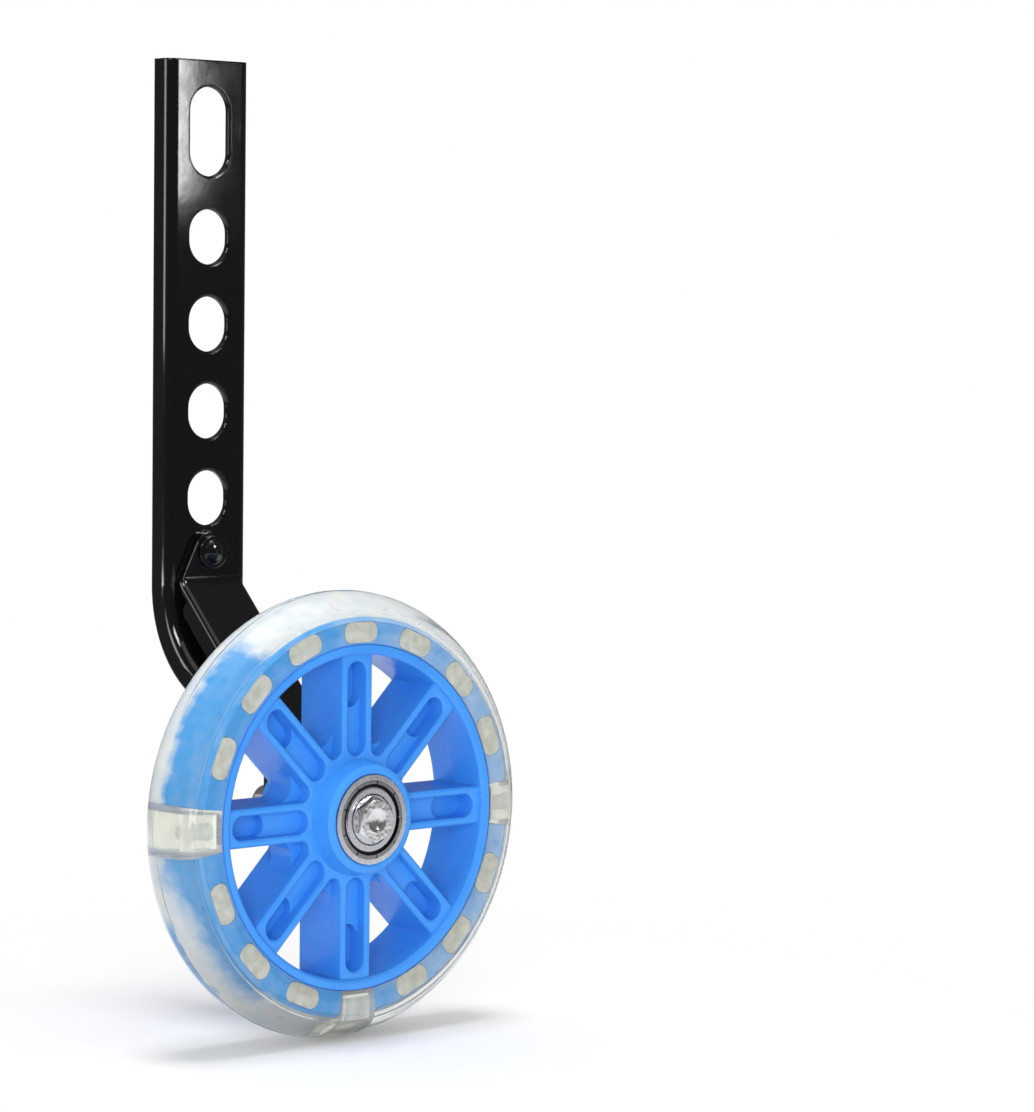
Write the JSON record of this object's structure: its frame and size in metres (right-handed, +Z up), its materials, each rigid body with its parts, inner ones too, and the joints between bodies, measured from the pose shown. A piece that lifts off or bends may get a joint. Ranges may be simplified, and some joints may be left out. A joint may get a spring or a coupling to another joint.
{
  "type": "bicycle training wheel",
  "caption": "Bicycle training wheel: a slotted steel channel arm with a riveted brace holds a clear-tyred spoked wheel that turns on ball bearings, with flash modules in the tyre.",
  "frame": {"origin": "middle of the two inner short slots, on the face of the bracket that lies against the bicycle", "axes": "+Z up along the arm, -Y outboard along the axle, X along the way of travel"},
  "size_m": [0.1104, 0.0745, 0.2416],
  "materials": {
    "black_paint": "gloss black",
    "rivet_paint": "gloss black",
    "zinc_steel": "bright zinc",
    "bearing_steel": "ground",
    "shield_steel": "pressed",
    "clip_steel": "wire",
    "sleeve_alloy": "turned",
    "magnet_ferrite": "sintered",
    "hub_plastic": "gloss blue",
    "clear_tyre": "clear",
    "flash_housing": "milky translucent",
    "flash_board": "laminate",
    "flash_coil": "ferrite and wire",
    "flash_lamp": "clear lens",
    "nylon": "natural nylon"
  },
  "bodies": {
    "bracket": {"bracket_arm": "black_paint", "brace_strut": "black_paint", "brace_rivet": "rivet_paint", "axle_bolt": "zinc_steel", "axle_sleeve": "sleeve_alloy", "ring_magnet": "magnet_ferrite", "outboard_inner_race": "bearing_steel", "inboard_inner_race": "bearing_steel", "wheel_spacer": "zinc_steel", "nut_washer": "zinc_steel", "lock_nut": "zinc_steel", "nut_insert": "nylon"},
    "wheel": {"hub_core": "hub_plastic", "tyre": "clear_tyre", "flash_housing_right": "flash_housing", "flash_board_right": "flash_board", "flash_coil_right": "flash_coil", "flash_lamp_right": "flash_lamp", "flash_housing_left": "flash_housing", "flash_board_left": "flash_board", "flash_coil_left": "flash_coil", "flash_lamp_left": "flash_lamp", "flash_housing_bottom": "flash_housing", "flash_board_bottom": "flash_board", "flash_coil_bottom": "flash_coil", "flash_lamp_bottom": "flash_lamp", "outboard_outer_race": "bearing_steel", "outboard_front_shield": "shield_steel", "outboard_front_clip": "clip_steel", "outboard_rear_shield": "shield_steel", "outboard_rear_clip": "clip_steel", "inboard_outer_race": "bearing_steel", "inboard_front_shield": "shield_steel", "inboard_front_clip": "clip_steel", "inboard_rear_shield": "shield_steel", "inboard_rear_clip": "clip_steel"},
    "outboard_cage": {"outboard_cage": "nylon", "outboard_balls": "bearing_steel"},
    "inboard_cage": {"inboard_cage": "nylon", "inboard_balls": "bearing_steel"}
  },
  "joints": [
    {"name": "wheel_spin", "type": "hinge", "parent": "bracket", "child": "wheel", "pos_m": [0, -0.054, -0.1087], "axis": [0, 1, 0], "continuous": true},
    {"name": "outboard_cage_spin", "type": "hinge", "parent": "bracket", "child": "outboard_cage", "pos_m": [0, -0.054, -0.1087], "axis": [0, 1, 0], "continuous": true},
    {"name": "inboard_cage_spin", "type": "hinge", "parent": "bracket", "child": "inboard_cage", "pos_m": [0, -0.054, -0.1087], "axis": [0, 1, 0], "continuous": true}
  ],
  "couplings": [
    {"joint": "outboard_cage_spin", "follows": "wheel_spin", "ratio": 0.63139},
    {"joint": "inboard_cage_spin", "follows": "wheel_spin", "ratio": 0.63139}
  ]
}
